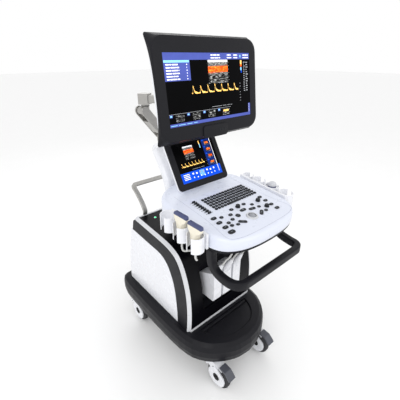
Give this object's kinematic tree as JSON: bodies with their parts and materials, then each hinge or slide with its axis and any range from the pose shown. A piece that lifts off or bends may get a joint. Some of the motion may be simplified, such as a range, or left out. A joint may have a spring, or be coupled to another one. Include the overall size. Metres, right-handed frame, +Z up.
{
  "type": "trolley ultrasound scanner",
  "caption": "Wheeled ultrasound scanner with a monitor on a folding arm, touch screen, control console, probes in cups and cable ports.",
  "frame": {"origin": "on the floor, under the middle of the trolley's overall box", "axes": "+Z up, the operator stands at -Y, +X is at the operator's right"},
  "size_m": [0.5682, 0.8338, 1.4339],
  "materials": {
    "white_shell": "satin white shell",
    "black_shell": "fine-grained graphite black",
    "gloss_fascia": "gloss black panel",
    "silver_trim": "satin silver",
    "steel": "plain sheet metal",
    "tyre": "dark tread",
    "grey_plastic": "grey",
    "pale_grey_plastic": "pale grey",
    "probe_cream": "cream",
    "key_black": "soft black keys"
  },
  "bodies": {
    "trolley": {"base_shell": "black_shell", "left_side_band": "black_shell", "right_side_band": "black_shell", "port_panel": "black_shell", "rear_cover": "black_shell", "console_tray": "black_shell", "front_handle": "black_shell", "cable_rack": "black_shell", "left_side_panel": "white_shell", "right_side_panel": "white_shell", "console_top": "white_shell", "neck": "white_shell", "left_holder": "white_shell", "right_holder": "white_shell", "connector_1": "white_shell", "connector_2": "white_shell", "connector_3": "white_shell", "front_trim": "silver_trim", "rear_handle": "silver_trim", "front_fascia": "gloss_fascia", "electronics_box": "steel", "keyboard": "key_black", "cable_front": "probe_cream", "cable_middle": "probe_cream", "cable_slim": "probe_cream"},
    "front_left_caster": {"front_left_fork": "white_shell"},
    "front_left_roller": {"front_left_wheel": "tyre"},
    "front_left_brake": {"front_left_pedal": "grey_plastic"},
    "front_right_caster": {"front_right_fork": "white_shell"},
    "front_right_roller": {"front_right_wheel": "tyre"},
    "front_right_brake": {"front_right_pedal": "grey_plastic"},
    "rear_left_caster": {"rear_left_fork": "white_shell"},
    "rear_left_roller": {"rear_left_wheel": "tyre"},
    "rear_right_caster": {"rear_right_fork": "white_shell"},
    "rear_right_roller": {"rear_right_wheel": "tyre"},
    "ball": {"trackball": "pale_grey_plastic"},
    "dial_1": {"knob_1": "key_black"},
    "dial_2": {"knob_2": "key_black"},
    "dial_3": {"knob_3": "key_black"},
    "gain_slider_1": {"tgc_slider_1": "key_black"},
    "gain_slider_2": {"tgc_slider_2": "key_black"},
    "gain_slider_3": {"tgc_slider_3": "key_black"},
    "gain_slider_4": {"tgc_slider_4": "key_black"},
    "gain_slider_5": {"tgc_slider_5": "key_black"},
    "gain_slider_6": {"tgc_slider_6": "key_black"},
    "gain_slider_7": {"tgc_slider_7": "key_black"},
    "gain_slider_8": {"tgc_slider_8": "key_black"},
    "front_handpiece": {"probe_front": "probe_cream"},
    "middle_handpiece": {"probe_middle": "probe_cream"},
    "slim_handpiece": {"probe_slim": "pale_grey_plastic"},
    "touch_screen": {"touch_bezel": "black_shell", "touch_shell": "white_shell"},
    "turret": {"arm_turret": "silver_trim"},
    "lift_arm": {"lower_arm": "silver_trim"},
    "elbow": {"elbow_post": "silver_trim"},
    "swing_arm": {"upper_arm": "silver_trim"},
    "head": {"monitor_head": "silver_trim"},
    "monitor": {"monitor_bezel": "black_shell", "monitor_back": "white_shell"}
  },
  "joints": [
    {"name": "front_left_swivel", "type": "hinge", "parent": "trolley", "child": "front_left_caster", "pos_m": [-0.138, -0.24, 0.139], "axis": [0, 0, 1], "continuous": true},
    {"name": "front_left_spin", "type": "hinge", "parent": "front_left_caster", "child": "front_left_roller", "pos_m": [-0.138, -0.285, 0.0625], "axis": [1, 0, 0], "continuous": true},
    {"name": "front_left_brake_press", "type": "hinge", "parent": "front_left_caster", "child": "front_left_brake", "pos_m": [-0.138, -0.305, 0.1355], "axis": [1, 0, 0], "range_deg": [-1, 7]},
    {"name": "front_right_swivel", "type": "hinge", "parent": "trolley", "child": "front_right_caster", "pos_m": [0.138, -0.24, 0.139], "axis": [0, 0, 1], "continuous": true},
    {"name": "front_right_spin", "type": "hinge", "parent": "front_right_caster", "child": "front_right_roller", "pos_m": [0.138, -0.285, 0.0625], "axis": [1, 0, 0], "continuous": true},
    {"name": "front_right_brake_press", "type": "hinge", "parent": "front_right_caster", "child": "front_right_brake", "pos_m": [0.138, -0.305, 0.1355], "axis": [1, 0, 0], "range_deg": [-1, 7]},
    {"name": "rear_left_swivel", "type": "hinge", "parent": "trolley", "child": "rear_left_caster", "pos_m": [-0.196, 0.335, 0.139], "axis": [0, 0, 1], "continuous": true},
    {"name": "rear_left_spin", "type": "hinge", "parent": "rear_left_caster", "child": "rear_left_roller", "pos_m": [-0.196, 0.29, 0.0625], "axis": [1, 0, 0], "continuous": true},
    {"name": "rear_right_swivel", "type": "hinge", "parent": "trolley", "child": "rear_right_caster", "pos_m": [0.196, 0.335, 0.139], "axis": [0, 0, 1], "continuous": true},
    {"name": "rear_right_spin", "type": "hinge", "parent": "rear_right_caster", "child": "rear_right_roller", "pos_m": [0.196, 0.29, 0.0625], "axis": [1, 0, 0], "continuous": true},
    {"name": "trackball_roll", "type": "hinge", "parent": "trolley", "child": "ball", "pos_m": [-0.007, -0.294, 0.82821], "axis": [1, 0, 0], "continuous": true},
    {"name": "knob_1_turn", "type": "hinge", "parent": "trolley", "child": "dial_1", "pos_m": [-0.0045, -0.22, 0.84549], "axis": [0, -0.1045, 0.9945], "continuous": true},
    {"name": "knob_2_turn", "type": "hinge", "parent": "trolley", "child": "dial_2", "pos_m": [0.099, -0.2345, 0.84397], "axis": [0, -0.1045, 0.9945], "continuous": true},
    {"name": "knob_3_turn", "type": "hinge", "parent": "trolley", "child": "dial_3", "pos_m": [0.0945, -0.2825, 0.83892], "axis": [0, -0.1045, 0.9945], "continuous": true},
    {"name": "gain_1_slide", "type": "slide", "parent": "trolley", "child": "gain_slider_1", "axis": [1, 0, 0], "range_m": [-0.008, 0.008]},
    {"name": "gain_2_slide", "type": "slide", "parent": "trolley", "child": "gain_slider_2", "axis": [1, 0, 0], "range_m": [-0.008, 0.008]},
    {"name": "gain_3_slide", "type": "slide", "parent": "trolley", "child": "gain_slider_3", "axis": [1, 0, 0], "range_m": [-0.008, 0.008]},
    {"name": "gain_4_slide", "type": "slide", "parent": "trolley", "child": "gain_slider_4", "axis": [1, 0, 0], "range_m": [-0.008, 0.008]},
    {"name": "gain_5_slide", "type": "slide", "parent": "trolley", "child": "gain_slider_5", "axis": [1, 0, 0], "range_m": [-0.008, 0.008]},
    {"name": "gain_6_slide", "type": "slide", "parent": "trolley", "child": "gain_slider_6", "axis": [1, 0, 0], "range_m": [-0.008, 0.008]},
    {"name": "gain_7_slide", "type": "slide", "parent": "trolley", "child": "gain_slider_7", "axis": [1, 0, 0], "range_m": [-0.008, 0.008]},
    {"name": "gain_8_slide", "type": "slide", "parent": "trolley", "child": "gain_slider_8", "axis": [1, 0, 0], "range_m": [-0.008, 0.008]},
    {"name": "front_probe_lift", "type": "slide", "parent": "trolley", "child": "front_handpiece", "axis": [0, 0, 1], "range_m": [0, 0.1]},
    {"name": "middle_probe_lift", "type": "slide", "parent": "trolley", "child": "middle_handpiece", "axis": [0, 0, 1], "range_m": [0, 0.1]},
    {"name": "slim_probe_lift", "type": "slide", "parent": "trolley", "child": "slim_handpiece", "axis": [0, 0, 1], "range_m": [0, 0.1]},
    {"name": "touch_tilt", "type": "hinge", "parent": "trolley", "child": "touch_screen", "pos_m": [0, 0.03011, 0.91396], "axis": [1, 0, 0], "range_deg": [-8, 3]},
    {"name": "arm_swivel", "type": "hinge", "parent": "trolley", "child": "turret", "pos_m": [0, 0.2295, 1.0176], "axis": [0, 0, 1], "range_deg": [-30, 30]},
    {"name": "arm_lift", "type": "hinge", "parent": "turret", "child": "lift_arm", "pos_m": [-0.03171, 0.22517, 1.0516], "axis": [-0.1353, 0.9908, 0], "range_deg": [-8, 20]},
    {"name": "elbow_level", "type": "hinge", "parent": "lift_arm", "child": "elbow", "pos_m": [-0.13133, 0.21156, 1.1657], "axis": [-0.1353, 0.9908, 0], "range_deg": [-20, 8]},
    {"name": "elbow_swivel", "type": "hinge", "parent": "elbow", "child": "swing_arm", "pos_m": [-0.1135, 0.214, 1.1902], "axis": [0, 0, 1], "range_deg": [-25, 25]},
    {"name": "monitor_swivel", "type": "hinge", "parent": "swing_arm", "child": "head", "pos_m": [0, 0.046, 1.2287], "axis": [0, 0, 1], "range_deg": [-20, 20]},
    {"name": "monitor_tilt", "type": "hinge", "parent": "head", "child": "monitor", "pos_m": [0, 0.01, 1.265], "axis": [1, 0, 0], "range_deg": [-5, 15]}
  ],
  "couplings": [
    {"joint": "elbow_level", "follows": "arm_lift", "ratio": -1}
  ]
}
